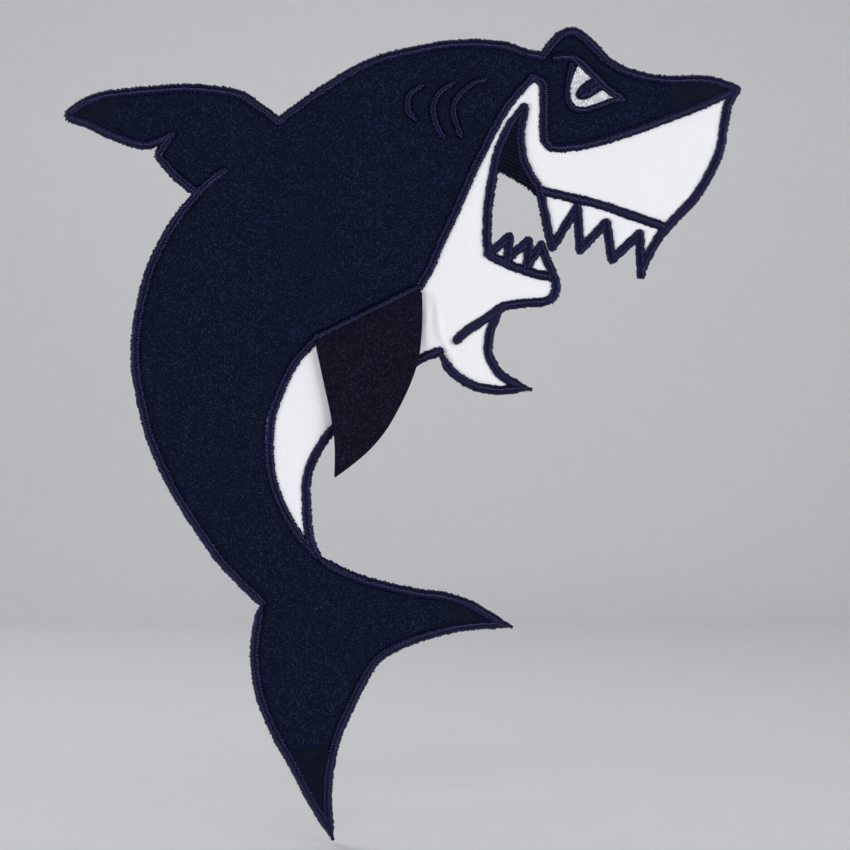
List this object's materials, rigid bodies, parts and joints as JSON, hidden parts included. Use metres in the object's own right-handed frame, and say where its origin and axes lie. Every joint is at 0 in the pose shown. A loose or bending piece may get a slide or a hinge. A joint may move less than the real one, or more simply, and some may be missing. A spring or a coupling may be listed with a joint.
{
  "type": "plush shark applique patch",
  "caption": "Flat sewn shark applique with jersey panels, satin stitched borders, an embroidered eye and a loose felt pectoral fin that lifts.",
  "frame": {"origin": "on the flat back face of the backing, behind the middle of the navy body, below the neck", "axes": "+Z is the top of the shark's picture, +X points to the side its snout faces, and the stitched front faces -Y; +Y is the outward normal of the back face"},
  "size_m": [0.2439, 0.0037, 0.2934],
  "materials": {
    "navy_jersey": "fine cotton single jersey, matt, with a fine upright rib of knitted stitches",
    "white_jersey": "fine cotton single jersey, matt, slightly sheer",
    "navy_satin_thread": "glossy polyester embroidery thread laid side by side",
    "navy_fill_thread": "embroidery thread in rows, with small needle points",
    "silver_thread": "metallised silver embroidery thread, glittering",
    "brushed_felt": "brushed felt with a raw cut edge, matt and grainy",
    "cutaway_stabiliser": "white non-woven fibre sheet, matt"
  },
  "bodies": {
    "patch": {"stabiliser_backing": "cutaway_stabiliser", "navy_body_panel": "navy_jersey", "white_underside_panel": "white_jersey", "back_edge": "navy_satin_thread", "dorsal_fin_edge": "navy_satin_thread", "crown_edge": "navy_satin_thread", "head_edge": "navy_satin_thread", "snout_line": "navy_satin_thread", "neck_line": "navy_satin_thread", "fin_seam": "navy_satin_thread", "belly_line": "navy_satin_thread", "belly_edge": "navy_satin_thread", "far_fin_edge": "navy_satin_thread", "throat_line": "navy_satin_thread", "chin_line": "navy_satin_thread", "lower_lip_line": "navy_satin_thread", "lower_teeth_edge": "navy_satin_thread", "mouth_left_line": "navy_satin_thread", "mouth_right_line": "navy_satin_thread", "upper_teeth_edge": "navy_satin_thread", "gum_line": "navy_satin_thread", "snout_front_edge": "navy_satin_thread", "tail_lower_edge": "navy_satin_thread", "tail_inner_edge": "navy_satin_thread", "tail_upper_edge": "navy_satin_thread", "dorsal_fold_line": "navy_satin_thread", "gill_line_1": "navy_satin_thread", "gill_line_2": "navy_satin_thread", "gill_line_3": "navy_satin_thread", "brow_line": "navy_satin_thread", "eye_outline": "navy_satin_thread", "eye_white": "silver_thread", "pupil": "navy_satin_thread", "tail_tip_fill": "navy_fill_thread", "fluke_tip_fill": "navy_fill_thread", "dorsal_tip_fill": "navy_fill_thread", "snout_tip_fill": "navy_fill_thread", "mouth_corner_fill": "navy_fill_thread", "fin_flap_root": "brushed_felt"},
    "fin": {"pectoral_fin_flap": "brushed_felt"}
  },
  "joints": [
    {"name": "fin_lift", "type": "hinge", "parent": "patch", "child": "fin", "pos_m": [0.00935, -0.0032, -0.01658], "axis": [-0.8969, 0, -0.4423], "range_deg": [0, 165]}
  ]
}
